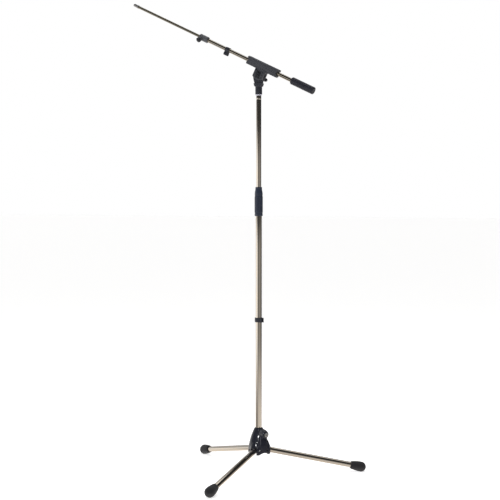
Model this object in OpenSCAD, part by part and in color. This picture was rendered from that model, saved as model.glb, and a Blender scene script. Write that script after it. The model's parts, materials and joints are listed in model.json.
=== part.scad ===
// Boom microphone stand: folding tripod base, two-part mast and telescopic boom.
// Millimetres. The origin is on the floor on the mast's axis, +Z is up, and the
// boom lies over the XZ plane with its tip towards -X.

/* [Legs] */
// Direction of the first leg, turned from +X
leg_turn = 28.8; // [0:0.1:60]
// Height of the leg pins above the floor
pin_z = 77.4; // [70:0.1:90]
// Distance from the mast's axis to the centre of a foot's ball
foot_reach = 327.8; // [250:0.1:420]
// Leg tube diameter
leg_d = 18; // [15:0.5:19]
// Leg tube wall
leg_wall = 1.5; // [1:0.1:2.5]
// Leg pin diameter
pin_d = 5; // [4:0.5:6]
// Length of a leg's toe inboard of its pin
toe_len = 17; // [15:0.5:18]
// Thickness of a toe, up and across
toe_size = 8; // [7:0.5:9]
// Diameter of a foot's ball
ball_d = 32; // [26:1:40]
// Diameter of a foot's sleeve
foot_sleeve_d = 24.6; // [22:0.2:26]
// Length of a foot's sleeve, up to the centre of its ball
foot_sleeve_len = 34; // [28:1:45]
// Depth of the flat under a foot
foot_flat = 0.6; // [0.3:0.1:1]

/* [Base casting] */
// Distance from the mast's axis to a leg pin
pin_reach = 26; // [25:0.5:28]
// Height of the casting, from its rim to its top
casting_h = 83; // [80:1:110]
// How far the casting's rim hangs below the leg pins
rim_drop = 13.7; // [10:0.1:15]
// Radius of the rim between the legs
rim_r = 34; // [33:0.5:38]
// Radius of the rim at a leg
lobe_r = 39.5; // [38:0.5:44]
// Distance from the mast's axis to a lobe's own axis
lobe_x = 17.5; // [15:0.5:20]
// Radius of the casting's top
neck_r = 12.4; // [12:0.1:13]
// Bulge of the casting's side between top and rim
side_bulge = 5; // [3:0.5:7]
// Rise of the arches between the lobes
arch_rise = 6; // [3:0.5:8]
// Diameter of the clamp screw's boss
boss_d = 23; // [20:0.5:25]
// Reach of the boss from the mast's axis
boss_reach = 40; // [36:0.5:44]
// Diameter of the clamp screw
clamp_screw_d = 8; // [6:0.5:10]
// Diameter of the clamp screw's head
clamp_head_d = 13; // [11:0.5:16]

/* [Mast] */
// Lower tube diameter
lower_d = 20; // [19:0.5:22]
// Lower tube wall
lower_wall = 1.5; // [1:0.1:2]
// Upper tube diameter
upper_d = 16; // [14:0.5:16]
// Upper tube wall
upper_wall = 1.2; // [1:0.1:2]
// Height of the twist clutch's top
clutch_top = 907.6; // [700:0.1:1100]
// Length of the twist clutch
clutch_len = 91; // [80:1:110]
// Diameter of the twist clutch
clutch_d = 26; // [25:0.5:30]
// Height of the upper tube's top as it stands
upper_top = 1192; // [1000:1:1500]
// Length of the upper tube
upper_len = 795; // [600:1:795]
// Height of the cable clip on the lower tube
mast_clip_z = 489; // [300:1:700]

/* [Boom head] */
// Diameter of the mast thread, 3/8 inch
thread_d = 9.52; // [9.52:0.01:9.52]
// Length of the mast thread
mast_thread_len = 18; // [14:1:22]
// Diameter of the fluted socket
socket_d = 21.4; // [20:0.2:24]
// Length of the fluted socket
socket_len = 26; // [24:1:32]
// Height of the tilt axis above the socket's foot
pivot_rise = 53.5; // [52:1:62]
// Radius of the tongue that the boom tilts on
tongue_r = 17; // [15:0.5:18]
// Thickness of a cheek
cheek_t = 5.4; // [5:0.2:8]
// Thickness of the head's tongue between the cheeks
tongue_t = 10; // [8:0.2:12]
// Diameter of the pivot bolt
bolt_d = 8; // [6:0.5:10]
// Length of the tee handle
handle_len = 40; // [34:1:50]

/* [Boom] */
// Tilt of the boom above level
boom_tilt = 25.76; // [-60:0.01:80]
// Distance from the tilt axis to the boom's axis
boom_rise = 35.75; // [34:0.25:40]
// Length of the clamp block
block_len = 113.4; // [90:0.2:140]
// Height of the clamp block
block_h = 25.6; // [23:0.2:28]
// Width of the clamp block
block_w = 22; // [20:0.5:26]
// Outer boom tube diameter
boom_d = 12; // [11:0.5:13]
// Outer boom tube wall
boom_wall = 1; // [0.8:0.1:1.4]
// Distance from the tilt axis to the front end of the outer tube's clamp
clamp_front = 246; // [200:1:320]
// Length of the telescopic clamp
clamp_len = 32; // [28:1:46]
// Diameter of the telescopic clamp
clamp_d = 19.6; // [18:0.2:24]
// Thumb screw diameter
thumb_screw_d = 5; // [4:0.5:6]
// Thumb screw knob diameter
thumb_knob_d = 16; // [14:0.5:20]
// Roll of the thumb screw below the boom's side
thumb_roll = 35; // [0:1:45]
// Distance from the tilt axis to the cable clip on the boom
boom_clip_x = 136.5; // [110:0.5:170]
// Distance from the tilt axis to the counterweight
weight_x = 107; // [90:1:140]
// Counterweight length
weight_len = 81.7; // [60:0.1:110]
// Counterweight diameter
weight_d = 23; // [20:0.5:30]
// Inner rod diameter
rod_d = 8.5; // [7:0.1:9]
// Inner rod wall
rod_wall = 1; // [0.8:0.1:1.4]
// Distance from the tilt axis to the rod's front end
rod_front = 496.5; // [330:0.5:560]
// Length of the inner rod
rod_len = 376; // [330:1:400]
// Length of the microphone thread at the boom's tip
tip_thread_len = 13.4; // [10:0.1:18]

/* [Cable clips] */
// Width of a cable clip along its tube
clip_w = 14; // [10:1:20]
// Wall of a cable clip
clip_wall = 2.4; // [2:0.1:3]
// Diameter of the cable that a clip's hook takes
hook_d = 8; // [7:0.5:10]

/* [Hidden] */
$fn = 64;

run = 0.05;         // radial clearance of a running fit
gap = 0.3;          // space between pieces that move past each other
slit = 1.6;         // width of a slit that lets a collar close
wall_min = 4;       // least wall of the casting
rim_cut = 2;        // overlength that is cut off level at the rim

// Legs: each is drawn along +X from its pin
foot_z = ball_d/2 - foot_flat;
leg_run = foot_reach - pin_reach;
leg_slope = atan((pin_z - foot_z)/leg_run);
leg_len = leg_run/cos(leg_slope);
pin_len = leg_d + 9;
knuckle_r = leg_d/2;
knuckle_w = leg_d - 0.6;
tube_start = knuckle_r + 2;
plug_len = 25;
foot_inset = 6;     // from the leg tube's end to the ball's centre
slot_w = leg_d + 1;

// Casting
rim_z = pin_z - rim_drop;
casting_top = rim_z + casting_h;
toe_slot_w = toe_size + 1.2;
toe_top = pin_z + toe_len + toe_size/2 + 1;
boss_z = casting_top - boss_d/2 - 6;
boss_turn = leg_turn - 60;
cavity_r = rim_r - wall_min;
lobe_top_r = 4;
lobe_drop = 30;     // how far a lobe stays below the casting's top
arch_r = 24;
pad_t = 2.4;

// Mast
mast_foot = pin_z + toe_size/2 + gap;
plug_head = 4;
lower_foot = mast_foot + plug_head;
lower_bore_d = lower_d - 2*lower_wall;
clutch_foot = clutch_top - clutch_len;
lower_top = clutch_top - 38;
core_len = 40;
core_d = lower_d + 2.6;
collet_len = 26;
cap_t = 5;
upper_foot = upper_top - upper_len;
upper_bore_d = upper_d - 2*upper_wall;
bush_flange = 6;
washer_t = 2.5;
stud_flange = 2;

// Boom head
socket_foot = upper_top + stud_flange + washer_t;
pivot_z = socket_foot + pivot_rise;
face_gap = 0.1;
washer_gap = 0.8 + 2*face_gap;
cheek_in = tongue_t/2 + washer_gap;
cheek_out = cheek_in + cheek_t;
cheek_half = 18;    // half the width of a cheek
cheek_drop = 8;     // how far a cheek reaches below the tilt axis
shoulder_z = -18.4; // top of the head's full width, from the tilt axis
bolt_head_d = 13;
bolt_head_t = 2.4;
bolt_in = -cheek_out + 1.4;
handle_in = cheek_out + 1.6;
handle_hub_t = 13;
bar_t = 9;
bar_w = 11;

// Boom, in the frame of the tilt axis: -X runs to the tip, +X to the tail
boom_bore_d = boom_d - 2*boom_wall;
rod_bore_d = rod_d - 2*rod_wall;
pedestal_foot = tongue_r + 0.8;
notch = 5;
step = 14;          // length of the clamp beyond the outer tube
tube_front = clamp_front - step;
tube_back = weight_x + weight_len - 16;
thumb_x = clamp_front - step/2;
thumb_boss_r = 13;
tip_collar = 6.5;

// Puts its children on leg i, with +X along the leg from its pin
module at_leg(i) {
    rotate([0, 0, leg_turn + 120*i])
        translate([pin_reach, 0, pin_z])
            rotate([0, leg_slope, 0]) children();
}

// Puts its children at the tilt axis, with -X along the boom to its tip
module at_pivot() translate([0, 0, pivot_z]) rotate([0, boom_tilt, 0]) children();

// Puts its children on the boom's axis at x
module at_boom(x) at_pivot() translate([x, 0, boom_rise]) children();

// Puts its children at the thumb screw, with +Z out along the screw
module at_thumb() at_boom(-thumb_x) rotate([90 + thumb_roll, 0, 0]) children();

// Puts its children at the clamp screw, with +Z out along the screw
module at_clamp_screw() rotate([0, 0, boss_turn]) translate([0, 0, boss_z]) rotate([0, 90, 0]) children();

// Cylinder along X from x0 to x1
module bar_x(x0, x1, r) translate([x0, 0, 0]) rotate([0, 90, 0]) cylinder(h = x1 - x0, r = r);

// Cylinder along Y from y0 to y1
module bar_y(y0, y1, r) translate([0, y0, 0]) rotate([-90, 0, 0]) cylinder(h = y1 - y0, r = r);

// Upright tube between two heights
module pipe(z0, z1, ro, ri) {
    translate([0, 0, z0]) difference() {
        cylinder(h = z1 - z0, r = ro);
        translate([0, 0, -1]) cylinder(h = z1 - z0 + 2, r = ri);
    }
}

// Cylinder with a bevel of b at both ends
module bevelled(h, r, b) {
    cylinder(h = b, r1 = r - b, r2 = r);
    translate([0, 0, b]) cylinder(h = h - 2*b, r = r);
    translate([0, 0, h - b]) cylinder(h = b, r1 = r, r2 = r - b);
}

// Half outline of a bell of height h whose side bulges between its top and its rim;
// it runs on a little below the rim, where the casting is cut off level
module bell_outline(top_r, foot_r, h) {
    chord = norm([foot_r - top_r, h]);
    out = [h, foot_r - top_r]/chord;
    mid = [(top_r + foot_r)/2, h/2];
    arc_r = (chord*chord/4 + side_bulge*side_bulge)/(2*side_bulge);
    intersection() {
        translate(mid - out*(arc_r - side_bulge)) circle(r = arc_r, $fn = 360);
        translate([0, -rim_cut]) square([foot_r + 2*side_bulge, h + rim_cut]);
    }
}

// Smaller bell over leg i, standing outboard of the mast's axis
module lobe(i) rotate([0, 0, leg_turn + 120*i]) translate([lobe_x, 0, rim_z])
    rotate_extrude($fn = 96) bell_outline(lobe_top_r, lobe_r - lobe_x, casting_h - lobe_drop);

// Straight space in which a leg lies, open below, with its roof along the leg
module leg_slot() rotate([90, 0, 0]) linear_extrude(slot_w, center = true) union() {
    rotate(-leg_slope) translate([-4, -60]) square([60, 60 + knuckle_r + 0.4]);
    circle(r = knuckle_r + 0.5);
}

module base_casting() color("#1b1c22") difference() {
    union() {
        translate([0, 0, rim_z]) rotate_extrude($fn = 96) bell_outline(neck_r, rim_r, casting_h);
        for (i = [0:2]) lobe(i);
        at_clamp_screw() cylinder(h = boss_reach, d = boss_d);
    }
    translate([0, 0, rim_z - 50]) cube(100, center = true);
    translate([0, 0, rim_z - 1]) cylinder(h = casting_h + 2, r = lower_d/2 + run);
    translate([0, 0, rim_z - 1]) rotate_extrude() polygon([[0, 0], [cavity_r, 0],
        [cavity_r - 3, rim_drop + 6], [lower_d/2 + 6, toe_top - rim_z + 1], [0, toe_top - rim_z + 1]]);
    for (i = [0:2]) {
        rotate([0, 0, leg_turn + 120*i]) translate([pin_reach, 0, pin_z]) {
            leg_slot();
            translate([-pin_reach, -toe_slot_w/2, -10]) cube([pin_reach + 2.6, toe_slot_w, toe_top - pin_z + 10.5]);
            bar_y(-pin_len, pin_len, pin_d/2);
        }
        rotate([0, 0, leg_turn + 60 + 120*i])
            translate([0, 0, rim_z + arch_rise - arch_r]) bar_x(10, lobe_r + 20, arch_r);
    }
    at_clamp_screw() cylinder(h = boss_reach + 1, d = clamp_screw_d);
}

module leg_pins() color("silver") for (i = [0:2]) at_leg(i) bar_y(-pin_len/2, pin_len/2, pin_d/2);

// Cast knuckle that turns on the pin, with a plug in the tube and a toe under the mast
module leg_knuckle(i) color("#6f7074") at_leg(i) difference() {
    union() {
        bar_y(-knuckle_w/2, knuckle_w/2, knuckle_r - 0.3);
        intersection() {
            bar_x(0, tube_start, knuckle_r);
            translate([0, -knuckle_w/2, -knuckle_r]) cube([tube_start, knuckle_w, leg_d]);
        }
        bar_x(tube_start, tube_start + plug_len, leg_d/2 - leg_wall);
        rotate([0, -leg_slope, 0]) {
            translate([-toe_len, -toe_size/2, -toe_size/2]) cube([toe_len, toe_size, toe_size]);
            translate([-toe_len, 0, 0]) bar_y(-toe_size/2, toe_size/2, toe_size/2);
        }
    }
    bar_y(-leg_d, leg_d, pin_d/2 + run);
}

module leg_tube(i) color("#c9c3b8") at_leg(i) difference() {
    bar_x(tube_start, leg_len - foot_inset, leg_d/2);
    bar_x(tube_start - 1, leg_len, leg_d/2 - leg_wall);
}

// Rubber cap with a ball end, flat where it meets the floor
module rubber_foot(i) color("#232226") difference() {
    at_leg(i) difference() {
        union() {
            translate([leg_len, 0, 0]) sphere(d = ball_d);
            translate([leg_len - foot_sleeve_len, 0, 0]) rotate([0, 90, 0]) {
                bevelled(foot_sleeve_len/2 + 4, foot_sleeve_d/2, 1);
                translate([0, 0, foot_sleeve_len/2])
                    cylinder(h = foot_sleeve_len/2 - 6, r1 = foot_sleeve_d/2 - 0.4, r2 = ball_d/2 - 1.2);
            }
        }
        bar_x(leg_len - foot_sleeve_len - 1, leg_len - foot_inset, leg_d/2);
    }
    rotate([0, 0, leg_turn + 120*i]) translate([foot_reach, 0, -20]) cube([80, 80, 40], center = true);
}

module clamp_screw() color("silver") at_clamp_screw() difference() {
    union() {
        translate([0, 0, lower_d/2 + gap + pad_t + 0.2])
            cylinder(h = boss_reach - lower_d/2 - pad_t, d = clamp_screw_d - 2*run);
        translate([0, 0, boss_reach + gap]) bevelled(5, clamp_head_d/2, 0.8);
    }
    translate([0, 0, boss_reach + 2]) cylinder(h = 5, r = 2.9, $fn = 6);
}

module clamp_pad() color("ivory") at_clamp_screw()
    translate([0, 0, lower_d/2 + gap]) cylinder(h = pad_t, d = clamp_screw_d);

// End plug of the mast, which stands on the toes
module mast_plug() color("#303136") {
    translate([0, 0, mast_foot]) cylinder(h = plug_head, d = lower_d);
    translate([0, 0, lower_foot]) cylinder(h = 20, d = lower_bore_d);
}

module lower_tube() color("#cfcac0") pipe(lower_foot, lower_top, lower_d/2, lower_bore_d/2);

// Snap ring for a tube of diameter d along Z, with a cable hook towards +X
module cable_clip(d) {
    outer = d/2 + clip_wall;
    hook_x = outer + hook_d/2 + 0.6;
    hook_r = hook_d/2 + clip_wall;
    difference() {
        union() {
            translate([0, 0, -clip_w/2]) cylinder(h = clip_w, r = outer);
            translate([hook_x, 0, -clip_w/2]) cylinder(h = clip_w, r = hook_r);
            translate([0, -outer*0.6, -clip_w/2]) cube([outer, outer*1.2, clip_w]);
        }
        cylinder(h = clip_w + 2, r = d/2 + run, center = true);
        translate([hook_x, 0, 0]) cylinder(h = clip_w + 2, d = hook_d, center = true);
        translate([hook_x, -hook_d*0.34, -clip_w]) cube([2*hook_r, hook_d*0.68, 2*clip_w]);
        translate([-2*outer, -outer*0.45, -clip_w]) cube([2*outer - d/4, outer*0.9, 2*clip_w]);
    }
}

module mast_cable_clip() color("#26272c")
    translate([0, 0, mast_clip_z]) rotate([0, 0, boss_turn]) cable_clip(lower_d);

// Threaded collar on the lower tube, on which the twist sleeve turns
module clutch_core() color("#2a2c33") {
    pipe(lower_top - core_len, lower_top, core_d/2, lower_d/2);
    pipe(lower_top, lower_top + 2, core_d/2, lower_bore_d/2);
}

// Slit taper ring that the sleeve presses on the upper tube
module clutch_collet() color("#e4e2da") difference() {
    translate([0, 0, lower_top + 2]) {
        cylinder(h = collet_len - 12, r = core_d/2 - 0.4);
        translate([0, 0, collet_len - 12]) cylinder(h = 12, r1 = core_d/2 - 0.4, r2 = upper_d/2 + 1.1);
    }
    translate([0, 0, lower_top]) cylinder(h = collet_len + 4, r = upper_d/2 + run);
    translate([0, -slit/2, lower_top]) cube([clutch_d, slit, collet_len + 4]);
}

// Twist grip: narrow at its mouth, with a shoulder and two ring grooves
module clutch_sleeve() color("#2f3646") difference() {
    translate([0, 0, clutch_foot]) {
        bevelled(clutch_len - 16, clutch_d/2, 1.2);
        translate([0, 0, clutch_len - 18]) cylinder(h = 12, r1 = clutch_d/2 - 0.5, r2 = upper_d/2 + 2.6);
        translate([0, 0, clutch_len - 8]) bevelled(8, upper_d/2 + 2.4, 0.8);
    }
    translate([0, 0, clutch_foot - 1]) cylinder(h = clutch_len - 17, r = core_d/2 + gap);
    translate([0, 0, clutch_top - 18.05])
        cylinder(h = 12, r1 = core_d/2 + gap, r2 = upper_d/2 + 1.3);
    translate([0, 0, clutch_foot]) cylinder(h = clutch_len + 1, r = upper_d/2 + gap);
    for (z = [9, clutch_len - 27]) translate([0, 0, clutch_foot + z]) rotate_extrude()
        translate([clutch_d/2 + 0.3, 0]) circle(r = 0.9, $fn = 24);
}

// Bush that slides in the lower tube and lets the upper tube turn on it
module guide_bush() color("#e4e2da") {
    translate([0, 0, upper_foot - bush_flange - face_gap])
        cylinder(h = bush_flange, r = lower_bore_d/2 - run);
    translate([0, 0, upper_foot - face_gap - 1]) cylinder(h = 18, r = upper_bore_d/2 - run);
}

module upper_tube() color("#d2cec6") difference() {
    pipe(upper_foot, upper_top, upper_d/2, upper_bore_d/2);
    translate([0, 0, upper_top - 11]) rotate_extrude()
        translate([upper_d/2 + 0.5, 0]) circle(r = 0.9, $fn = 24);
}

module mast_stud() color("silver") {
    translate([0, 0, upper_top - 9]) cylinder(h = 9, d = upper_bore_d);
    translate([0, 0, upper_top]) cylinder(h = stud_flange, d = upper_d);
    translate([0, 0, upper_top + stud_flange - 1]) cylinder(h = mast_thread_len + 1, d = thread_d);
}

module stud_washer() color("#dedcec")
    pipe(upper_top + stud_flange, socket_foot, socket_d/2 - 1.2, thread_d/2);

module socket_insert() color("#b99a4c")
    pipe(socket_foot, socket_foot + socket_len - 4, thread_d/2 + 2.4, thread_d/2);

// Fluted socket that widens to a shoulder, with a round tongue above it
module swivel_head() color("#26282e") difference() {
    union() {
        translate([0, 0, socket_foot]) bevelled(socket_len, socket_d/2, 0.8);
        translate([0, 0, pivot_z]) rotate([90, 0, 0]) {
            linear_extrude(tongue_t, center = true) union() {
                circle(r = tongue_r);
                polygon([[-tongue_r*0.95, -6], [tongue_r*0.95, -6], [socket_d/2 - 1, socket_len - pivot_rise - 2],
                    [1 - socket_d/2, socket_len - pivot_rise - 2]]);
            }
            linear_extrude(2*cheek_out - 1, center = true)
                polygon([[-13.4, shoulder_z], [13.4, shoulder_z], [socket_d/2 - 0.4, socket_len - pivot_rise - 1],
                    [0.4 - socket_d/2, socket_len - pivot_rise - 1]]);
        }
    }
    translate([0, 0, pivot_z]) bar_y(-30, 30, bolt_d/2 + run);
    translate([0, 0, socket_foot - 1]) cylinder(h = socket_len - 3, r = thread_d/2 + 2.4);
    for (a = [0:45:359]) rotate([0, 0, a]) translate([socket_d/2 + 0.7, 0, socket_foot - 1])
        cylinder(h = socket_len - 2, r = 1.9);
}

module friction_washers() color("#c8b48a") for (s = [-1, 1]) translate([0, 0, pivot_z])
    rotate([90, 0, 0]) translate([0, 0, s*(tongue_t/2 + face_gap + 0.4)]) difference() {
        cylinder(h = 0.8, r = cheek_drop - 0.4, center = true);
        cylinder(h = 2, d = bolt_d, center = true);
    }

// Bolt moulded into the near cheek, with the thread on the far side
module pivot_bolt() color("#35363b") translate([0, 0, pivot_z]) {
    bar_y(bolt_in, bolt_in + bolt_head_t, bolt_head_d/2);
    bar_y(bolt_in + 1, handle_in + handle_hub_t - 3, bolt_d/2);
}

module handle_washer() color("silver") translate([0, 0, pivot_z]) difference() {
    bar_y(cheek_out, cheek_out + 1.4, 9);
    bar_y(cheek_out - 1, cheek_out + 3, bolt_d/2);
}

// Tee handle, a nut with a ribbed bar across its hub
module tee_handle() color("#1f2025") at_pivot() difference() {
    union() {
        bar_y(handle_in, handle_in + handle_hub_t, 9);
        translate([-handle_len/2 + bar_w/2, handle_in + handle_hub_t - bar_t, -bar_w/2])
            cube([handle_len - bar_w, bar_t, bar_w]);
        for (s = [-1, 1]) translate([s*(handle_len - bar_w)/2, 0, 0])
            bar_y(handle_in + handle_hub_t - bar_t, handle_in + handle_hub_t, bar_w/2);
    }
    bar_y(handle_in - 1, handle_in + handle_hub_t - 2.5, bolt_d/2 + run);
    for (s = [-1, 1], x = [10:3:16]) translate([s*x, handle_in + handle_hub_t + 0.4, -bar_w])
        cylinder(h = 2*bar_w, r = 1.1);
}

// Outline of a cheek, with a shallow arc below
module cheek_outline() intersection() {
    translate([-cheek_half, -cheek_drop]) square([2*cheek_half, boom_rise]);
    translate([0, 30 - cheek_drop]) circle(r = 30, $fn = 180);
}

// Clamp block on a pedestal whose two cheeks tilt on the head's tongue
module boom_block() color("#3f424c") at_pivot() difference() {
    union() {
        translate([0, 0, boom_rise]) intersection() {
            translate([-block_len/2, -block_w/2, -block_h/2]) cube([block_len, block_w, block_h]);
            bar_x(-block_len/2, block_len/2, block_h*0.6);
        }
        rotate([90, 0, 0]) for (s = [-1, 1]) translate([0, 0, s*(cheek_in + cheek_out)/2])
            linear_extrude(cheek_t, center = true) cheek_outline();
        translate([-cheek_half, -cheek_in - 1, pedestal_foot])
            cube([2*cheek_half, 2*cheek_in + 2, boom_rise - pedestal_foot - 8]);
        for (x = [-14:3.5:14]) translate([x, -cheek_out, -3]) cylinder(h = pedestal_foot + 5, r = 0.9, $fn = 24);
    }
    translate([0, 0, boom_rise]) bar_x(-block_len, block_len, boom_d/2 + run);
    bar_y(bolt_in + 1, 30, bolt_d/2);
    bar_y(bolt_in, bolt_in + bolt_head_t, bolt_head_d/2);
    for (s = [-1, 1]) translate([s*block_len/2, 0, boom_rise]) rotate([90, 0, 0])
        linear_extrude(2*block_w, center = true) polygon([[-s*notch, 0], [s, -block_h/2 + 3], [s, block_h/2 - 3]]);
}

module boom_tube() color("#cfcac0") at_boom(0) difference() {
    bar_x(-tube_front, tube_back, boom_d/2);
    bar_x(-tube_front - 1, tube_back + 1, boom_bore_d/2);
}

module counterweight() color("#26272e") at_boom(weight_x) difference() {
    rotate([0, 90, 0]) bevelled(weight_len, weight_d/2, 1.5);
    bar_x(-1, tube_back - weight_x, boom_d/2);
    translate([14, 0, 0]) rotate([180, 0, 0]) cylinder(h = weight_d, r = 2.5);
}

module weight_screw() color("#4a4b50") at_boom(weight_x + 14) rotate([180, 0, 0]) difference() {
    translate([0, 0, boom_d/2]) cylinder(h = weight_d/2 - boom_d/2 - 1, r = 2.5);
    translate([0, 0, weight_d/2 - 3]) cylinder(h = 4, r = 1.3, $fn = 6);
}

// Collar on the outer tube with a boss for the thumb screw
module rod_clamp() color("#34363d") difference() {
    union() {
        at_boom(-clamp_front) rotate([0, 90, 0]) bevelled(clamp_len, clamp_d/2, 1);
        at_thumb() cylinder(h = thumb_boss_r, d = 12);
    }
    at_boom(0) bar_x(-tube_front, -clamp_front + clamp_len + 1, boom_d/2);
    at_boom(0) bar_x(-clamp_front - 1, -tube_front + 1, rod_d/2 + run);
    at_thumb() cylinder(h = thumb_boss_r + 1, d = thumb_screw_d);
}

// Small pad between the thumb screw and the rod
module clamp_shoe() color("ivory") at_thumb()
    translate([0, 0, rod_d/2 + gap]) cylinder(h = 1.5, d = thumb_screw_d);

module thumb_screw() color("#1d1e22") at_thumb() {
    translate([0, 0, rod_d/2 + gap + 1.7])
        cylinder(h = thumb_boss_r - rod_d/2, d = thumb_screw_d - 2*run);
    translate([0, 0, thumb_boss_r + gap]) difference() {
        bevelled(7, thumb_knob_d/2, 0.8);
        for (a = [0:45:359]) rotate([0, 0, a]) translate([thumb_knob_d/2 + 1, 0, -1])
            cylinder(h = 9, r = 1.9);
    }
}

module boom_cable_clip() color("#26272c") at_boom(-boom_clip_x) rotate([0, 90, 0]) cable_clip(boom_d);

// Bush on the rod's inner end, on which the rod turns
module rod_bush() color("#e4e2da") at_boom(rod_len - rod_front) {
    bar_x(face_gap, face_gap + 5, boom_bore_d/2 - run);
    bar_x(-14, face_gap + 1, rod_bore_d/2 - run);
}

module inner_rod() color("#d2cec6") at_boom(-rod_front) difference() {
    bar_x(0, rod_len, rod_d/2);
    bar_x(-1, rod_len + 1, rod_bore_d/2);
}

// Threaded tip that takes a microphone clip
module tip_thread() color("#b9bbc0") at_boom(-rod_front) {
    bar_x(0, 12, rod_bore_d/2);
    bar_x(-tip_collar, 0, rod_d/2 + 1.1);
    bar_x(-tip_collar - tip_thread_len, -tip_collar + 1, thread_d/2);
}

base_casting();
leg_pins();
leg_knuckle(0);  // leg_knuckle_1
leg_knuckle(1);  // leg_knuckle_2
leg_knuckle(2);  // leg_knuckle_3
leg_tube(0);  // leg_tube_1
leg_tube(1);  // leg_tube_2
leg_tube(2);  // leg_tube_3
rubber_foot(0);  // rubber_foot_1
rubber_foot(1);  // rubber_foot_2
rubber_foot(2);  // rubber_foot_3
clamp_screw();
clamp_pad();
mast_plug();
lower_tube();
mast_cable_clip();
clutch_core();
clutch_collet();
clutch_sleeve();
guide_bush();
upper_tube();
mast_stud();
stud_washer();
socket_insert();
swivel_head();
friction_washers();
pivot_bolt();
handle_washer();
tee_handle();
boom_block();
boom_tube();
counterweight();
weight_screw();
rod_clamp();
clamp_shoe();
thumb_screw();
boom_cable_clip();
rod_bush();
inner_rod();
tip_thread();
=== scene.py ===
import json
import math
import bpy
from mathutils import Matrix, Vector

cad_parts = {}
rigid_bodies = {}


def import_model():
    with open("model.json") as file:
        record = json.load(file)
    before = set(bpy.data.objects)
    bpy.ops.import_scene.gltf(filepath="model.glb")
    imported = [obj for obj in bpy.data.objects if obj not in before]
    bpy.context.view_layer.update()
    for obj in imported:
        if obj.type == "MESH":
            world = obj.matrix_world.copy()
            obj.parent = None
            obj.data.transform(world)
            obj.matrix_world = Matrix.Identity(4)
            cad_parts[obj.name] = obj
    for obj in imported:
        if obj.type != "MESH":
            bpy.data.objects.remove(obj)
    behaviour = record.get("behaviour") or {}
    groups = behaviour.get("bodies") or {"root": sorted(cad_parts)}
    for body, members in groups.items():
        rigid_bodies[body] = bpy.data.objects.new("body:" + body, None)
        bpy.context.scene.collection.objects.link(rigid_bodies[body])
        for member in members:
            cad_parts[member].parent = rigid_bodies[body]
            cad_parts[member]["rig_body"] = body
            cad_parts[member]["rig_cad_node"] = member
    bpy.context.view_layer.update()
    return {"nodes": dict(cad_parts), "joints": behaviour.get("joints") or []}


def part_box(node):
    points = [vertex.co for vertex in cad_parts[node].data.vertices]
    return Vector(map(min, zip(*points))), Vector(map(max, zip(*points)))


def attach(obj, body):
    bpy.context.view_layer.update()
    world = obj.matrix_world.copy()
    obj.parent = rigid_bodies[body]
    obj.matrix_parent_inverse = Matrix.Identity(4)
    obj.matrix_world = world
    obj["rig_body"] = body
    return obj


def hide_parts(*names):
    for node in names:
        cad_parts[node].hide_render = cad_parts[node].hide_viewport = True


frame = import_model()
mm = 0.001
joints = {j["name"]: j for j in frame["joints"]}
print("frame loaded,", len(frame["nodes"]), "nodes")


# places: a local frame whose Z runs along a piece

def placeAlong(origin, axis, up):
    z = Vector(axis).normalized()
    x = (Vector(up) - Vector(up).dot(z) * z).normalized()
    y = z.cross(x)
    turn = Matrix((x, y, z)).transposed().to_4x4()
    return Matrix.Translation(Vector(origin)) @ turn


def span(node, place):
    # lowest and highest corner of a node, measured in a local frame
    back = place.inverted()
    points = [back @ v.co for v in frame["nodes"][node].data.vertices]
    low = Vector([min(p[i] for p in points) for i in range(3)])
    high = Vector([max(p[i] for p in points) for i in range(3)])
    return low, high


def roundBody(node, place):
    # (start, end, radius) of a turned node along its local Z
    low, high = span(node, place)
    return low.z, high.z, max(high.x, high.y)


upright = Matrix.Identity(4)
tilt = Vector(joints["boom_tilt"]["pos_m"])
toTip = Vector(joints["boom_slide"]["axis"])
boomUp = Vector((0, 1, 0)).cross(toTip)
if boomUp.z < 0:
    boomUp = -boomUp
pivotPlace = placeAlong(tilt, -toTip, boomUp)      # Z towards the tail, X up from the boom
boomRise = sum(span("boom_tube", pivotPlace)[i].x for i in (0, 1)) / 2
boomPlace = placeAlong(tilt + boomUp * boomRise, -toTip, boomUp)
screwAt = Vector(joints["clamp_screw_turn"]["pos_m"])
screwAxis = joints["clamp_screw_turn"]["axis"]
screwPlace = placeAlong(screwAt, screwAxis, (0, 0, 1))
legPlaces = []
for i in (1, 2, 3):
    pin = Vector(joints[f"leg_fold_{i}"]["pos_m"])
    across = Vector(joints[f"leg_fold_{i}"]["axis"])
    tubeMiddle = sum(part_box(f"leg_tube_{i}"), Vector()) / 2
    out = tubeMiddle - pin
    out -= out.dot(across) * across
    legPlaces.append(placeAlong(pin, out, (0, 0, 1)))


# shaping

def deselectAll():
    if bpy.context.object and bpy.context.object.mode != "OBJECT":
        bpy.ops.object.mode_set(mode="OBJECT")
    bpy.ops.object.select_all(action="DESELECT")


def pick(obj):
    deselectAll()
    obj.select_set(True)
    bpy.context.view_layer.objects.active = obj


def outline(corners):
    # corners are (radius, height, fillet); a fillet rounds the corner with short chords
    ring, count = [], len(corners)
    for i, (r, z, fillet) in enumerate(corners):
        here = Vector((r, z))
        if not fillet:
            ring.append(here)
            continue
        before = Vector(corners[i - 1][:2]) - here
        after = Vector(corners[(i + 1) % count][:2]) - here
        reach = min(fillet, before.length * 0.49, after.length * 0.49)
        start = here + before.normalized() * reach
        end = here + after.normalized() * reach
        for step in range(5):
            t = step / 4
            ring.append(start * (1 - t) ** 2 + here * 2 * t * (1 - t) + end * t ** 2)
    return [(p.x, p.y) for p in ring]


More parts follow.
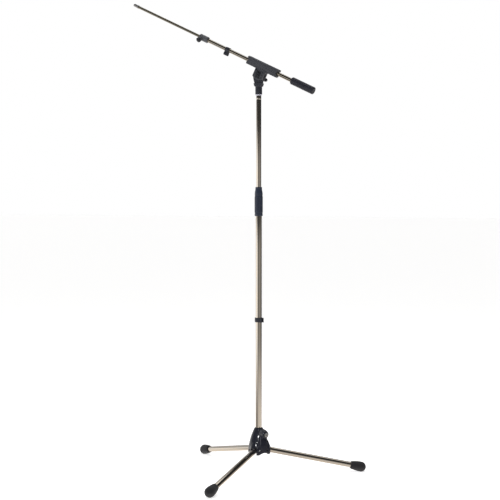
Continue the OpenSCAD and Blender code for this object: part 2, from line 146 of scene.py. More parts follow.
def turned(name, rings, sides=96, hollow=False):
    # extrudes a circle from ring to ring; a hollow piece comes back to its first ring
    deselectAll()
    radius, height = rings[0]
    bpy.ops.mesh.primitive_circle_add(vertices=sides, radius=radius, location=(0, 0, 0))
    obj = bpy.context.object
    obj.name = name
    bpy.ops.object.mode_set(mode="EDIT")
    bpy.ops.mesh.select_mode(type="EDGE")
    bpy.ops.mesh.select_all(action="SELECT")
    bpy.ops.transform.translate(value=(0, 0, height))
    for r, z in rings[1:] + (rings[:1] if hollow else []):
        bpy.ops.mesh.extrude_edges_move(TRANSFORM_OT_translate={"value": (0, 0, z - height)})
        if abs(r - radius) > 1e-9:
            bpy.ops.transform.resize(value=(r / radius, r / radius, 1), center_override=(0, 0, z))
        radius, height = r, z
    bpy.ops.mesh.select_all(action="SELECT")
    bpy.ops.mesh.remove_doubles(threshold=1e-7)
    if not hollow:
        bpy.ops.mesh.fill_holes(sides=0)
        bpy.ops.mesh.select_all(action="SELECT")
    bpy.ops.mesh.normals_make_consistent(inside=False)
    bpy.ops.object.mode_set(mode="OBJECT")
    return obj


def selectFaces(obj, test):
    # selects the faces whose centre and normal pass the test, in edit mode
    bpy.ops.object.mode_set(mode="EDIT")
    bpy.ops.mesh.select_mode(type="FACE")
    bpy.ops.mesh.select_all(action="DESELECT")
    bpy.ops.object.mode_set(mode="OBJECT")
    for face in obj.data.polygons:
        face.select = test(face.center, face.normal)
    bpy.ops.object.mode_set(mode="EDIT")


def applyAll(obj):
    pick(obj)
    for modifier in list(obj.modifiers):
        bpy.ops.object.modifier_apply(modifier=modifier.name)


def rounded(obj, width, segments=3, angle=32):
    bevel = obj.modifiers.new("Rounding", "BEVEL")
    bevel.width = width
    bevel.segments = segments
    bevel.limit_method = "ANGLE"
    bevel.angle_limit = math.radians(angle)
    bevel.miter_outer = "MITER_ARC"
    applyAll(obj)


def softened(obj, voxel, passes):
    # one skin with small fillets in every corner, as a casting or a moulding has
    remesh = obj.modifiers.new("Skin", "REMESH")
    remesh.mode = "VOXEL"
    remesh.voxel_size = voxel
    smooth = obj.modifiers.new("Fillets", "SMOOTH")
    smooth.factor = 0.5
    smooth.iterations = passes
    applyAll(obj)


def copied(name, node):
    # a node's own shape, merged, ready for finer work
    deselectAll()
    source = frame["nodes"][node]
    source.select_set(True)
    bpy.context.view_layer.objects.active = source
    bpy.ops.object.duplicate()
    obj = bpy.context.object
    bpy.ops.object.parent_clear(type="CLEAR_KEEP_TRANSFORM")
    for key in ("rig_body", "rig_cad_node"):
        del obj[key]
    obj.name = name
    bpy.ops.object.mode_set(mode="EDIT")
    bpy.ops.mesh.select_all(action="SELECT")
    bpy.ops.mesh.remove_doubles(threshold=1e-7)
    bpy.ops.mesh.customdata_custom_splitnormals_clear()
    bpy.ops.mesh.dissolve_limited(angle_limit=math.radians(0.5))
    bpy.ops.object.mode_set(mode="OBJECT")
    obj.data.materials.clear()
    return obj


def finished(obj, finish, body, nodes, place=None, angle=30):
    pick(obj)
    if place is not None:
        obj.matrix_world = place
        bpy.ops.object.transform_apply(location=True, rotation=True, scale=True)
    bpy.ops.object.shade_smooth_by_angle(angle=math.radians(angle))
    obj.data.materials.clear()
    obj.data.materials.append(finish)
    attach(obj, body)
    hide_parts(*nodes)
    return obj


# finishes

class Wire:
    # a node's output; sums and products on it add Math nodes
    def __init__(self, finish, socket):
        self.finish, self.socket = finish, socket

    def maths(self, operation, a, b, clamp=False):
        return self.finish.node("ShaderNodeMath", {"operation": operation, "use_clamp": clamp}, {0: a, 1: b})

    def __add__(self, other):
        return self.maths("ADD", self, other)

    def __radd__(self, other):
        return self.maths("ADD", other, self)

    def __sub__(self, other):
        return self.maths("SUBTRACT", self, other)

    def __rsub__(self, other):
        return self.maths("SUBTRACT", other, self)

    def __mul__(self, other):
        return self.maths("MULTIPLY", self, other)

    def __rmul__(self, other):
        return self.maths("MULTIPLY", other, self)

    def over(self, level, slope):
        return self.maths("MULTIPLY", self - level, slope, True)


class Finish:
    def __init__(self, name, constants):
        self.material = bpy.data.materials.new(name)
        self.material.use_nodes = True
        self.tree = self.material.node_tree
        self.shader = self.tree.nodes["Principled BSDF"]
        for socket, value in constants.items():
            self.shader.inputs[socket].default_value = value

    def node(self, kind, settings, inputs, output=0):
        made = self.tree.nodes.new(kind)
        for key, value in settings.items():
            setattr(made, key, value)
        for key, value in inputs.items():
            if isinstance(value, Wire):
                self.tree.links.new(value.socket, made.inputs[key])
            else:
                made.inputs[key].default_value = value
        return Wire(self, made.outputs[output])

    def place(self, scale=(1, 1, 1), turn=(0, 0, 0)):
        # object coordinates, turned first and scaled after
        at = self.node("ShaderNodeTexCoord", {}, {}, "Object")
        if any(turn):
            at = self.node("ShaderNodeMapping", {}, {"Vector": at, "Rotation": turn})
        return self.node("ShaderNodeMapping", {}, {"Vector": at, "Scale": scale})

    def noise(self, at, scale, detail=3, rough=0.5, warp=0):
        return self.node("ShaderNodeTexNoise", {}, {"Vector": at, "Scale": scale, "Detail": detail,
                         "Roughness": rough, "Distortion": warp})

    def cells(self, at, scale):
        return self.node("ShaderNodeTexVoronoi", {"feature": "F1"}, {"Vector": at, "Scale": scale})

    def blend(self, factor, a, b):
        return self.node("ShaderNodeMix", {"data_type": "RGBA"}, {0: factor, 6: a, 7: b}, 2)

    def bump(self, height, strength, distance):
        return self.node("ShaderNodeBump", {}, {"Height": height, "Strength": strength, "Distance": distance})

    def feed(self, **sockets):
        names = {"colour": "Base Color", "roughness": "Roughness", "normal": "Normal"}
        for key, wire in sockets.items():
            self.tree.links.new(wire.socket, self.shader.inputs[names[key]])
        return self.material


def plated(name, tint, dull, along, smudge=0.06, grain=0.008):
    # bright plate: fine drawing lines along the piece and around it, and cloudy patches
    made = Finish(name, {"Metallic": 1.0, "Coat Weight": 0.25, "Coat Roughness": 0.05})
    turn = along.inverted().to_euler()
    lines = made.noise(made.place((1400, 1400, 9), tuple(turn)), 1, 4, 0.6)
    rings = made.noise(made.place((40, 40, 900), tuple(turn)), 1, 3, 0.5)
    cloud = made.noise(made.place((1, 1, 1), tuple(turn)), 28, 4, 0.6, 0.6)
    dark = tuple(c * 0.90 for c in tint[:3]) + (1,)
    warm = (tint[0] * 1.03, tint[1] * 0.97, tint[2] * 0.88, 1)
    colour = made.blend(cloud.over(0.40, 2.2), made.blend(lines.over(0.35, 1.2), dark, tint), warm)
    roughness = dull + cloud * smudge + (lines + rings) * 0.02
    height = lines * 0.7 + rings * 0.3
    return made.feed(colour=colour, roughness=roughness, normal=made.bump(height, grain, 0.00002))


def enamelled(name, base, light):
    # gloss enamel over a casting: slight orange peel, dust and rubbed corners
    made = Finish(name, {"Metallic": 0.0, "Coat Weight": 0.55, "Coat Roughness": 0.05,
                         "Specular IOR Level": 0.3})
    at = made.place()
    peel = made.noise(at, 420, 3, 0.45)
    wave = made.noise(at, 60, 2, 0.5)
    dust = made.noise(at, 2600, 3, 0.7).over(0.62, 6) * made.noise(at, 45, 3).over(0.42, 3)
    worn = made.node("ShaderNodeNewGeometry", {}, {}, "Pointiness").over(0.545, 14)
    colour = made.blend(wave, base, tuple(c * 1.6 for c in base[:3]) + (1,))
    colour = made.blend(dust * 0.35, colour, light)
    colour = made.blend(worn * 0.35, colour, light)
    roughness = 0.16 + wave * 0.12 + dust * 0.35
    return made.feed(colour=colour, roughness=roughness,
                     normal=made.bump(peel * 0.7 + wave * 0.5, 0.22, 0.00012))


def moulded(name, base, light, dull, grain=0.3, size=1500, coat=0.0):
    # moulded plastic: fine spark grain, flow marks, scuffs and a little dust
    made = Finish(name, {"Metallic": 0.0, "Coat Weight": coat, "Coat Roughness": 0.2})
    at = made.place()
    pits = made.cells(at, size)
    fine = made.noise(at, size * 1.3, 3, 0.6)
    flow = made.noise(made.place((1, 1, 0.3)), 38, 3, 0.55, 0.8)
    scuff = made.noise(made.place((1, 1, 0.12)), 800, 4, 0.7).over(0.60, 5) * flow.over(0.45, 3)
    colour = made.blend(flow, base, tuple(c * 1.45 for c in base[:3]) + (1,))
    colour = made.blend(fine.over(0.58, 3) * 0.22 + scuff * 0.30, colour, light)
    roughness = dull + (flow - 0.5) * 0.16 + fine * 0.08 + scuff * 0.12
    return made.feed(colour=colour, roughness=roughness,
                     normal=made.bump(pits * 0.6 + fine * 0.4, grain, 0.00006))


def rubbery(name, base, dustColour):
    # soft rubber: matte, mottled, pale dust towards the floor
    made = Finish(name, {"Metallic": 0.0, "Sheen Weight": 0.12, "Sheen Roughness": 0.5,
                         "Specular IOR Level": 0.35})
    at = made.place()
    fine = made.noise(at, 1800, 4, 0.65)
    patch = made.noise(at, 70, 4, 0.6, 0.4)
    height = made.node("ShaderNodeSeparateXYZ", {}, {0: at}, "Z")
    low = 1 - height.over(0.002, 60)
    colour = made.blend(patch, base, tuple(c * 1.7 for c in base[:3]) + (1,))
    colour = made.blend(low * patch.over(0.35, 2.2) * 0.42 + fine.over(0.62, 4) * 0.12, colour, dustColour)
    roughness = 0.56 + patch * 0.16 + fine * 0.10
    return made.feed(colour=colour, roughness=roughness,
                     normal=made.bump(fine * 0.6 + patch * 0.4, 0.35, 0.0001))


finishes = {
    "mastNickel": plated("nickelUpright", (0.80, 0.745, 0.67, 1), 0.04, upright),
    # the boom and the rod take the mast's nickel with darker tints: painted shade
    "shadedBoomNickel": plated("shadedNickelBoom", (0.50, 0.47, 0.41, 1), 0.04, boomPlace),
    "shadedRodNickel": plated("shadedNickelRod", (0.32, 0.30, 0.24, 1), 0.04, boomPlace),
    "enamel": enamelled("blackEnamel", (0.012, 0.013, 0.019, 1), (0.20, 0.20, 0.22, 1)),
    "plastic": moulded("blackPlastic", (0.020, 0.022, 0.030, 1), (0.16, 0.17, 0.20, 1), 0.36),
    "grip": moulded("gripPlastic", (0.022, 0.029, 0.050, 1), (0.20, 0.22, 0.28, 1), 0.34, 0.35, 1100, 0.15),
    # the clamp's plastic is the black plastic made lighter: painted light, so that its top reads lit
    "clamp": moulded("litClampPlastic", (0.070, 0.072, 0.080, 1), (0.40, 0.41, 0.44, 1), 0.34, 0.4, 1300),
    "block": moulded("blockPlastic", (0.036, 0.038, 0.046, 1), (0.26, 0.27, 0.30, 1), 0.40, 0.4, 1300),
    "weight": moulded("weightCoat", (0.018, 0.019, 0.027, 1), (0.14, 0.15, 0.18, 1), 0.46, 0.25, 1400),
    "knob": moulded("knobPlastic", (0.014, 0.015, 0.019, 1), (0.15, 0.15, 0.17, 1), 0.30),
    "rubber": rubbery("blackRubber", (0.020, 0.0195, 0.022, 1), (0.17, 0.165, 0.16, 1)),
    "steel": plated("zincPlate", (0.62, 0.63, 0.65, 1), 0.20, upright, 0.16, 0.3),
    "cast": plated("rawZinc", (0.42, 0.42, 0.44, 1), 0.34, upright, 0.22, 0.8),
    "darkSteel": plated("blackenedSteel", (0.10, 0.10, 0.11, 1), 0.28, upright, 0.2, 0.4),
    "brass": plated("turnedBrass", (0.72, 0.54, 0.25, 1), 0.22, upright, 0.16, 0.3),
    "nylon": moulded("naturalNylon", (0.62, 0.60, 0.53, 1), (0.80, 0.79, 0.74, 1), 0.42, 0.12, 1500, 0.1),
    "paleNylon": moulded("paleNylon", (0.60, 0.59, 0.68, 1), (0.82, 0.81, 0.88, 1), 0.40, 0.12, 1500, 0.1),
}
for i, place in enumerate(legPlaces, 1):
    finishes[f"legNickel{i}"] = plated(f"nickelLeg{i}", (0.78, 0.72, 0.64, 1), 0.05, place)
print("finishes ready,", len(finishes))


# base: casting, screw, legs and feet

castingSizes = {"voxel": 0.8 * mm, "passes": 14, "boreBand": 0.7 * mm}
ear = {"from": 15 * mm, "reach": 39 * mm, "wide": 17 * mm, "low": 4 * mm, "high": 16.5 * mm,
       "fall": 4 * mm, "edge": 5 * mm}
casting = copied("baseCasting", "base_casting")
deselectAll()
bpy.ops.mesh.primitive_cube_add(size=1, location=(0, 0, 0))
shoulder = bpy.context.object
shoulder.scale = (ear["high"] + ear["low"], ear["wide"], ear["reach"] - ear["from"])
shoulder.location = ((ear["high"] - ear["low"]) / 2, 0, (ear["reach"] + ear["from"]) / 2)
bpy.ops.object.transform_apply(location=True, rotation=False, scale=True)
bpy.ops.object.mode_set(mode="EDIT")
bpy.ops.mesh.select_all(action="DESELECT")
bpy.ops.object.mode_set(mode="OBJECT")
for vertex in shoulder.data.vertices:
    vertex.select = vertex.co.x > 0 and vertex.co.z > ear["reach"] - mm
bpy.ops.object.mode_set(mode="EDIT")
# the ear's top falls away outwards
bpy.ops.transform.translate(value=(-ear["fall"], 0, 0))
bpy.ops.object.mode_set(mode="OBJECT")
rounded(shoulder, ear["edge"], 4)
shoulder.matrix_world = placeAlong((0, 0, screwAt.z), screwAxis, (0, 0, 1))
bpy.ops.object.transform_apply(location=True, rotation=True, scale=True)
casting.select_set(True)
bpy.context.view_layer.objects.active = casting
bpy.ops.object.join()
softened(casting, castingSizes["voxel"], castingSizes["passes"])
# the bore keeps its own radius, so that the mast still runs in it
boreR = min(math.hypot(v.co.x, v.co.y) for v in frame["nodes"]["base_casting"].data.vertices)
for vertex in casting.data.vertices:
    reach = math.hypot(vertex.co.x, vertex.co.y)
    if reach < boreR + castingSizes["boreBand"]:
        vertex.co.x *= boreR / reach
        vertex.co.y *= boreR / reach
finished(casting, finishes["enamel"], "base", ["base_casting"], angle=60)

screwSizes = {"stem": 3.9 * mm, "head": 5 * mm, "socketR": 2.9 * mm, "socketFloorR": 2.5 * mm,
              "socketDeep": 3 * mm, "bevel": 0.7 * mm, "sides": 48}
start, end, radius = roundBody("clamp_screw", screwPlace)
stem, headFoot = screwSizes["stem"], end - screwSizes["head"]
screw = turned("clampScrew", outline([
    (stem, start, 0.4 * mm), (stem, headFoot, 0), (radius, headFoot, 0.4 * mm),
    (radius, end, screwSizes["bevel"]), (screwSizes["socketR"], end, 0.3 * mm),
    (screwSizes["socketFloorR"], end - screwSizes["socketDeep"], 0.2 * mm)]), screwSizes["sides"])
finished(screw, finishes["steel"], "base_screw", ["clamp_screw"], screwPlace)

legSizes = {"wall": 1.5 * mm, "short": 0.2 * mm, "mouthEdge": 0.8 * mm, "edge": 0.4 * mm,
            "boreEdge": 0.5 * mm, "sides": 64, "knuckleEdge": 0.5 * mm}
for i, place in enumerate(legPlaces, 1):
    start, end, radius = roundBody(f"leg_tube_{i}", place)
    mouth, bore = start + legSizes["short"], radius - legSizes["wall"]
    tube = turned(f"legTube{i}", outline([
        (radius, mouth, legSizes["mouthEdge"]), (radius, end, legSizes["edge"]),
        (bore, end, legSizes["edge"]), (bore, mouth, legSizes["boreEdge"])]), legSizes["sides"], True)
    finished(tube, finishes[f"legNickel{i}"], f"leg_{i}", [f"leg_tube_{i}"], place)

    knuckle = copied(f"legKnuckle{i}", f"leg_knuckle_{i}")
    rounded(knuckle, legSizes["knuckleEdge"], 2)
    finished(knuckle, finishes["cast"], f"leg_{i}", [f"leg_knuckle_{i}"])
print("base done")

footSizes = {"sleeveR": 12.1 * mm, "ballR": 16 * mm, "lip": 1.6 * mm, "lipIn": 0.3 * mm, "fit": 0.02 * mm,
             "swell": 10, "ballStep": 6, "poleR": 0.4 * mm, "sides": 72}
for i, place in enumerate(legPlaces, 1):
    start, end, radius = roundBody(f"rubber_foot_{i}", place)
    ballR, ballMiddle = footSizes["ballR"], end - footSizes["ballR"]
    legR = roundBody(f"leg_tube_{i}", place)[2]
    sleeveR, z = footSizes["sleeveR"], start + footSizes["lip"]
    rings = outline([(legR + footSizes["fit"], start, 0.4 * mm),
                     (sleeveR - footSizes["lipIn"], start, 0.8 * mm), (sleeveR, z, 0.5 * mm)])
    for step in range(1, footSizes["swell"]):
        t = step / footSizes["swell"]
        swell = math.sin(t * math.pi / 2)
        rings.append((sleeveR + (ballR - sleeveR) * swell, z + (ballMiddle - z) * t))
    for degrees in range(0, 90, footSizes["ballStep"]):
        t = math.radians(degrees)
        rings.append((ballR * math.cos(t), ballMiddle + ballR * math.sin(t)))
    rings += [(footSizes["poleR"], end)]
    foot = turned(f"rubberFoot{i}", rings, footSizes["sides"])
    # cut flat where it stands on the floor
    pick(foot)
    foot.matrix_world = place
    bpy.ops.object.transform_apply(location=True, rotation=True, scale=True)
    bpy.ops.object.mode_set(mode="EDIT")
    bpy.ops.mesh.select_all(action="SELECT")
    bpy.ops.mesh.bisect(plane_co=(0, 0, 0.00002), plane_no=(0, 0, 1), use_fill=True, clear_inner=True)
    bpy.ops.object.mode_set(mode="OBJECT")
    finished(foot, finishes["rubber"], f"leg_{i}", [f"rubber_foot_{i}"])
print("feet done")


# mast: tubes, clips and clutch

def tubeAlong(name, node, place, sizes):
    # a plain tube with eased ends
    start, end, radius = roundBody(node, place)
    bore = radius - sizes["wall"]
    rings = outline([(radius, start, sizes["outerEdge"]), (radius, end, sizes["outerEdge"]),
                     (bore, end, sizes["innerEdge"]), (bore, start, sizes["innerEdge"])])
    return turned(name, rings, sizes["sides"], True)


lowerSizes = {"wall": 1.5 * mm, "outerEdge": 0.5 * mm, "innerEdge": 0.4 * mm, "sides": 96}
lowerTube = tubeAlong("lowerTube", "lower_tube", upright, lowerSizes)
finished(lowerTube, finishes["mastNickel"], "lower_mast", ["lower_tube"], upright)

upperSizes = {"wall": 1.2 * mm, "short": 0.02 * mm, "crimpBelow": 11 * mm, "crimpDeep": 0.7 * mm,
              "crimpHalf": 1.3 * mm, "crimpEase": 0.8 * mm, "sides": 96}
start, end, radius = roundBody("upper_tube", upright)
bore, top = radius - upperSizes["wall"], end - upperSizes["short"]
crimp, half, ease = end - upperSizes["crimpBelow"], upperSizes["crimpHalf"], upperSizes["crimpEase"]
upperTube = turned("upperTube", outline([
    (radius, start, 0.5 * mm), (radius, crimp - half, ease),
    (radius - upperSizes["crimpDeep"], crimp, 1 * mm), (radius, crimp + half, ease),
    (radius, top, 1.2 * mm), (bore, top, 0.2 * mm), (bore, start, 0.3 * mm)]), upperSizes["sides"], True)
finished(upperTube, finishes["mastNickel"], "upper_mast", ["upper_tube"], upright)

clipEdge = 0.7 * mm
for name, node, body in (("mastCableClip", "mast_cable_clip", "mast_clip"),
                         ("boomCableClip", "boom_cable_clip", "boom_clip")):
    clip = copied(name, node)
    rounded(clip, clipEdge, 3)
    finished(clip, finishes["plastic"], body, [node])

sleeveSizes = {
    "ribCount": 30, "facesPerRib": 4, "ribDeep": 0.45 * mm, "ribEdge": 0.12 * mm, "gap": 0.35 * mm,
    "footBand": 13 * mm, "neck": 32 * mm, "skinIn": 0.3 * mm, "ringIn": 1.2 * mm, "ringLow": 8 * mm,
    "ringHigh": 3 * mm, "ringWide": 2 * mm, "ringSlope": 0.3 * mm, "wall": 1.4 * mm, "taper": 18 * mm,
    "collar": 7.5 * mm, "ease": 0.3 * mm,
}
start, end, radius = roundBody("clutch_sleeve", upright)
tube = roundBody("upper_tube", upright)[2]
bore = tube + sleeveSizes["gap"]
gripLow, gripHigh = start + sleeveSizes["footBand"], end - sleeveSizes["neck"]
skin, ringR, inside = (radius - sleeveSizes[key] for key in ("skinIn", "ringIn", "wall"))
ease, slope = sleeveSizes["ease"], sleeveSizes["ringSlope"]
corners = [(skin, start, 1.2 * mm), (skin, start + 7 * mm, 0.5 * mm)]
for z in (start + sleeveSizes["ringLow"], gripHigh + sleeveSizes["ringHigh"]):
    far = z + sleeveSizes["ringWide"]
    corners += [(skin, z, ease), (ringR, z + slope, ease), (ringR, far - slope, ease), (skin, far, ease)]
    if z < gripLow:
        corners += [(radius, gripLow - 0.5 * mm, 0.6 * mm), (radius, gripLow, 0),
                    (radius, gripHigh, 0), (radius, gripHigh + 0.5 * mm, 0.6 * mm)]
corners += [(radius - 0.6 * mm, end - sleeveSizes["taper"], 3 * mm),
            (tube + 2.5 * mm, end - sleeveSizes["collar"], 3 * mm),
            (tube + 2.4 * mm, end, 1.2 * mm), (bore, end, 0.5 * mm), (bore, end - 3 * mm, ease),
            (tube + 1.2 * mm, end - 6.5 * mm, ease), (inside, end - 18.4 * mm, ease),
            (inside, start, 0.4 * mm)]
fine = sleeveSizes["facesPerRib"]
sleeve = turned("clutchSleeve", outline(corners), sleeveSizes["ribCount"] * fine, True)
faceTurn = 2 * math.pi / sleeveSizes["ribCount"] / fine
# every fourth face of the grip is pressed in, which leaves ribs
selectFaces(sleeve, lambda c, n: gripLow < c.z < gripHigh and n.x * c.x + n.y * c.y > 0
            and int((math.atan2(c.y, c.x) % (2 * math.pi)) / faceTurn) % fine == 0)
bpy.ops.mesh.inset(thickness=sleeveSizes["ribEdge"], depth=-sleeveSizes["ribDeep"],
                   use_boundary=True, use_individual=False)
bpy.ops.object.mode_set(mode="OBJECT")
finished(sleeve, finishes["grip"], "clutch_grip", ["clutch_sleeve"], upright)
print("mast done")


# boom head

headSizes = {"voxel": 0.45 * mm, "passes": 3}
head = copied("swivelHead", "swivel_head")
softened(head, headSizes["voxel"], headSizes["passes"])
finished(head, finishes["plastic"], "upper_mast", ["swivel_head"], angle=60)

for name, node, body, finish, slot, width in (
        ("teeHandle", "tee_handle", "handle", "knob", "black_plastic", 0.8 * mm),
        ("pivotBolt", "pivot_bolt", "block", "darkSteel", "black_steel", 0.4 * mm),
        ("mastStud", "mast_stud", "upper_mast", "steel", "steel", 0.3 * mm)):
    piece = copied(name, node)
    rounded(piece, width, 3)
    finished(piece, finishes[finish], body, [node])

blockSizes = {"parting": -1.5 * mm, "leanIn": 0.62, "edge": 0.7 * mm,
              "cornerLow": -13.5 * mm, "cornerHigh": -9 * mm, "cornerIn": 8 * mm, "cornerOut": 11.2 * mm}
block = copied("boomBlock", "boom_block")
bpy.ops.object.mode_set(mode="EDIT")
bpy.ops.mesh.select_all(action="SELECT")
bpy.ops.mesh.bisect(plane_co=tilt + boomUp * (boomRise + blockSizes["parting"]), plane_no=boomUp)
bpy.ops.mesh.select_mode(type="VERT")
bpy.ops.mesh.select_all(action="DESELECT")
bpy.ops.object.mode_set(mode="OBJECT")
# the block's lower long corners lean in
blockBack = boomPlace.inverted()
for vertex in block.data.vertices:
    local = blockBack @ vertex.co
    low = blockSizes["cornerLow"] < local.x < blockSizes["cornerHigh"]
    vertex.select = low and blockSizes["cornerIn"] < abs(local.y) < blockSizes["cornerOut"]
bpy.ops.object.mode_set(mode="EDIT")
bpy.ops.transform.resize(value=(1, blockSizes["leanIn"], 1), center_override=(0, 0, 0))
bpy.ops.object.mode_set(mode="OBJECT")
rounded(block, blockSizes["edge"], 2, 40)
finished(block, finishes["block"], "block", ["boom_block"])
print("head done")


# boom: tubes, weight, clamp and tip

outerSizes = {"wall": 1 * mm, "outerEdge": 0.4 * mm, "innerEdge": 0.3 * mm, "sides": 72}
boomTube = tubeAlong("boomTube", "boom_tube", boomPlace, outerSizes)
finished(boomTube, finishes["shadedBoomNickel"], "boom", ["boom_tube"], boomPlace)

rodSizes = {"wall": 1 * mm, "outerEdge": 0.4 * mm, "innerEdge": 0.3 * mm, "sides": 64}
rod = tubeAlong("innerRod", "inner_rod", boomPlace, rodSizes)
finished(rod, finishes["shadedRodNickel"], "rod", ["inner_rod"], boomPlace)

weightSizes = {"fit": 0.03 * mm, "frontIn": 1.5 * mm, "frontLong": 2 * mm, "grooveStart": 12 * mm,
               "grooveEnd": 10 * mm, "grooveDeep": 0.7 * mm, "slope": 0.3 * mm, "backRound": 3.2 * mm,
               "dish": 0.6 * mm, "poleR": 0.5 * mm, "sides": 96}
start, end, radius = roundBody("counterweight", boomPlace)
boomTail, boomR = roundBody("boom_tube", boomPlace)[1:]
bore, floorZ, poleR = boomR + weightSizes["fit"], end - weightSizes["dish"], weightSizes["poleR"]
grooveR, slope = radius - weightSizes["grooveDeep"], weightSizes["slope"]
grooveStart, grooveEnd = end - weightSizes["grooveStart"], end - weightSizes["grooveEnd"]
weight = turned("counterweight", outline([
    (bore, start, 0.4 * mm), (radius - weightSizes["frontIn"], start, 0.5 * mm),
    (radius, start + weightSizes["frontLong"], 1.6 * mm),
    (radius, grooveStart, slope), (grooveR, grooveStart + slope, slope),
    (grooveR, grooveEnd - slope, slope), (radius, grooveEnd, slope),
    (radius, end, weightSizes["backRound"]), (radius * 0.55, end, 0.4 * mm), (radius * 0.5, floorZ, 0.4 * mm),
    (poleR, floorZ, 0), (poleR, boomTail, 0), (bore, boomTail, 0)]), weightSizes["sides"], True)
finished(weight, finishes["weight"], "boom", ["counterweight"], boomPlace)

clampSizes = {"voxel": 0.4 * mm, "passes": 3, "thumbEdge": 0.4 * mm}
clamp = copied("rodClamp", "rod_clamp")
softened(clamp, clampSizes["voxel"], clampSizes["passes"])
finished(clamp, finishes["clamp"], "boom", ["rod_clamp"], angle=60)

thumb = copied("thumbScrew", "thumb_screw")
rounded(thumb, clampSizes["thumbEdge"], 2)
finished(thumb, finishes["knob"], "thumb_screw", ["thumb_screw"])

tipSizes = {"threadR": 4.76 * mm, "pitch": 25.4 * mm / 16, "deep": 0.75 * mm, "collar": 6.5 * mm,
            "spigotR": 3.2 * mm, "holeR": 1.6 * mm, "holeDeep": 2 * mm, "sides": 64}
start, end, radius = roundBody("tip_thread", boomPlace)
rodFront = roundBody("inner_rod", boomPlace)[0]
threadR, pitch, rootR = tipSizes["threadR"], tipSizes["pitch"], tipSizes["threadR"] - tipSizes["deep"]
threadFoot = rodFront - tipSizes["collar"]
corners = [(tipSizes["spigotR"], end, 0.3 * mm), (tipSizes["spigotR"], rodFront, 0),
           (radius, rodFront, 0.5 * mm), (radius, threadFoot, 0.8 * mm),
           (threadR - 0.9 * mm, threadFoot, 0.2 * mm)]
z = threadFoot - pitch * 0.6
while z > start + pitch:
    corners += [(rootR, z + pitch * 0.3, 0.1 * mm), (threadR, z, 0.18 * mm),
                (rootR, z - pitch * 0.3, 0.1 * mm)]
    z -= pitch
corners += [(threadR - 0.6 * mm, start, 0.5 * mm), (tipSizes["holeR"], start, 0.3 * mm),
            (tipSizes["holeR"] - 0.1 * mm, start + tipSizes["holeDeep"], 0.2 * mm)]
tip = turned("tipThread", outline(corners), tipSizes["sides"])
finished(tip, finishes["steel"], "rod", ["tip_thread"], boomPlace)
print("boom done")

# nodes whose shape stays take a finish of their own
keptFinishes = {
    "leg_pins": "darkSteel", "clamp_pad": "nylon", "mast_plug": "plastic", "clutch_core": "plastic",
    "clutch_collet": "nylon", "guide_bush": "nylon", "stud_washer": "paleNylon", "socket_insert": "brass",
    "friction_washers": "nylon", "handle_washer": "steel", "weight_screw": "darkSteel",
    "clamp_shoe": "nylon", "rod_bush": "nylon",
}
for node, finish in keptFinishes.items():
    mesh = frame["nodes"][node].data
    mesh.materials.clear()
    mesh.materials.append(finishes[finish])
print("kept nodes finished")


# floor, light and camera

def smoothStep(tree, value, low, high):
    made = tree.nodes.new("ShaderNodeMapRange")
    made.interpolation_type = "SMOOTHSTEP"
    for i, number in enumerate((low, high, 0, 1)):
        made.inputs[i + 1].default_value = number
    tree.links.new(value, made.inputs[0])
    return made.outputs[0]


def studioWorld(right, front, bands, heights):
    # light that differs by direction: one ramp of azimuth for each band of height
    world = bpy.data.worlds.new("studio")
    bpy.context.scene.world = world
    world.use_nodes = True
    tree = world.node_tree
    tree.nodes.clear()
    new, link = tree.nodes.new, tree.links.new
    coords = new("ShaderNodeTexCoord")
    parts = []
    for direction in (right, front, (0, 0, 1)):
        dot = new("ShaderNodeVectorMath")
        dot.operation = "DOT_PRODUCT"
        dot.inputs[1].default_value = direction
        link(coords.outputs["Generated"], dot.inputs[0])
        parts.append(dot.outputs["Value"])
    around = new("ShaderNodeMath")
    around.operation = "ARCTAN2"
    link(parts[0], around.inputs[0])
    link(parts[1], around.inputs[1])
    turns = new("ShaderNodeMapRange")
    for i, number in enumerate((-math.pi, math.pi, 0, 1)):
        turns.inputs[i + 1].default_value = number
    link(around.outputs[0], turns.inputs[0])
    colours = []
    for stops in bands:
        ramp = new("ShaderNodeValToRGB")
        while len(ramp.color_ramp.elements) < len(stops):
            ramp.color_ramp.elements.new(0.5)
        for element, (degrees, shade, warmth) in zip(ramp.color_ramp.elements, stops):
            element.position = (degrees + 180) / 360
            element.color = (shade, shade * (1 - warmth * 0.5), shade * (1 - warmth), 1)
        link(turns.outputs[0], ramp.inputs[0])
        colours.append(ramp.outputs[0])
    colour = colours[0]
    for above, (low, high) in zip(colours[1:], heights):
        mix = new("ShaderNodeMix")
        mix.data_type = "RGBA"
        link(smoothStep(tree, parts[2], low, high), mix.inputs[0])
        link(colour, mix.inputs[6])
        link(above, mix.inputs[7])
        colour = mix.outputs[2]
    seen = new("ShaderNodeLightPath")
    lit, plain, either, out = (new("ShaderNodeBackground"), new("ShaderNodeBackground"),
                               new("ShaderNodeMixShader"), new("ShaderNodeOutputWorld"))
    link(colour, lit.inputs[0])
    lit.inputs[1].default_value = 1.25
    plain.inputs[0].default_value = (1, 1, 1, 1)
    link(seen.outputs["Is Camera Ray"], either.inputs[0])
    link(lit.outputs[0], either.inputs[1])
    link(plain.outputs[0], either.inputs[2])
    link(either.outputs[0], out.inputs[0])


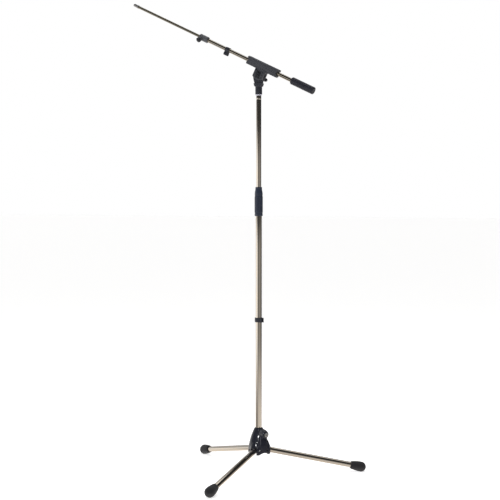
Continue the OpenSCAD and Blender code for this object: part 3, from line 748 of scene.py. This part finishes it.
# azimuths are from the front, positive to the right; then brightness and warmth
lightBands = [
    [(-180, 0.75, 0.12), (-115, 0.7, 0.12), (-95, 0.1, 0.1), (-50, 0.1, 0.1), (-25, 0.5, 0.12),
     (60, 0.62, 0.12), (180, 0.75, 0.12)],
    [(-180, 0.8, 0.05), (-60, 0.95, 0.03), (-40, 0.8, 0.04), (-32, 0.02, 0.1), (-13, 0.02, 0.1),
     (-5, 0.27, 0.08), (60, 0.2, 0.08), (110, 0.1, 0.05), (180, 0.07, 0.05)],
    [(-180, 0.32, 0.0), (-120, 0.4, 0.0), (-80, 0.03, 0.0), (60, 0.03, 0.0), (100, 0.015, 0.0),
     (165, 0.01, 0.0), (180, 0.25, 0.0)],
    [(-180, 0.95, 0.03), (-110, 0.85, 0.03), (-90, 0.03, 0.0), (90, 0.03, 0.0), (115, 0.8, 0.03),
     (180, 0.95, 0.03)],
]
bandHeights = [(-0.30, -0.12), (0.03, 0.11), (0.72, 0.82)]
studio = {"azimuth": math.radians(25), "floorSize": 90, "key": 16, "fill": 5,
          "top": 26, "strip": 24, "slim": 1.5}
toRight = Vector((math.cos(studio["azimuth"]), math.sin(studio["azimuth"]), 0))
toCamera = Vector((math.sin(studio["azimuth"]), -math.cos(studio["azimuth"]), 0))
studioWorld(toRight, toCamera, lightBands, bandHeights)


def softbox(name, at, target, width, height, power, mirrored=False):
    deselectAll()
    bpy.ops.object.light_add(type="AREA", location=at)
    light = bpy.context.object
    light.name = name
    light.data.shape = "RECTANGLE"
    light.data.size, light.data.size_y = width, height
    light.data.energy = power
    light.rotation_euler = (Vector(target) - Vector(at)).to_track_quat("-Z", "Y").to_euler()
    light.visible_camera = False
    light.visible_glossy = mirrored
    return light


middle = Vector((0, 0, 0.75))
softbox("keyBox", middle - toRight * 1.9 + toCamera * 1.3 + Vector((0, 0, 0.6)), middle,
        0.7, 1.8, studio["key"])
softbox("fillBox", middle + toRight * 2.1 + toCamera * 1.0 + Vector((0, 0, 0.2)), middle,
        0.6, 1.6, studio["fill"])
softbox("topBox", Vector((0, 0, 3.2)), middle, 1.6, 1.6, studio["top"])
# two strips that only the casting mirrors
strips = [
    softbox("stripBox", toCamera * 2.5 - toRight * 0.25 + Vector((0, 0, 1.55)), (0, 0, 0.1),
            0.14, 0.5, studio["strip"], True),
    softbox("slimBox", toCamera * 2.5 + toRight * 1.1 + Vector((0, 0, 1.0)), (0, 0, 0.1),
            0.10, 0.7, studio["slim"], True),
]
glossed = bpy.data.collections.new("glossed")
glossed.objects.link(casting)
for strip in strips:
    strip.light_linking.receiver_collection = glossed

deselectAll()
bpy.ops.mesh.primitive_plane_add(size=studio["floorSize"], location=(0, 0, 0))
floor = bpy.context.object
floor.name = "floor"
floorFinish = Finish("paleFloor", {
    "Base Color": (0.93, 0.93, 0.93, 1), "Roughness": 0.9, "Emission Color": (1, 1, 1, 1),
    "Emission Strength": 0.72, "Specular IOR Level": 0.1})
floor.visible_glossy = False
floor.data.materials.append(floorFinish.material)

cameraSizes = {"at": (1.4818, -3.2423, 0.8740), "pitch": math.radians(90 - 2.64), "lens": 81.57, "sensor": 36}
bpy.ops.object.camera_add(location=cameraSizes["at"], rotation=(cameraSizes["pitch"], 0, studio["azimuth"]))
camera = bpy.context.object
camera.data.lens, camera.data.sensor_width = cameraSizes["lens"], cameraSizes["sensor"]
camera.data.clip_start, camera.data.clip_end = 0.05, 60
bpy.context.scene.camera = camera
bpy.context.scene.view_settings.view_transform = "Standard"
bpy.context.scene.view_settings.look = "None"
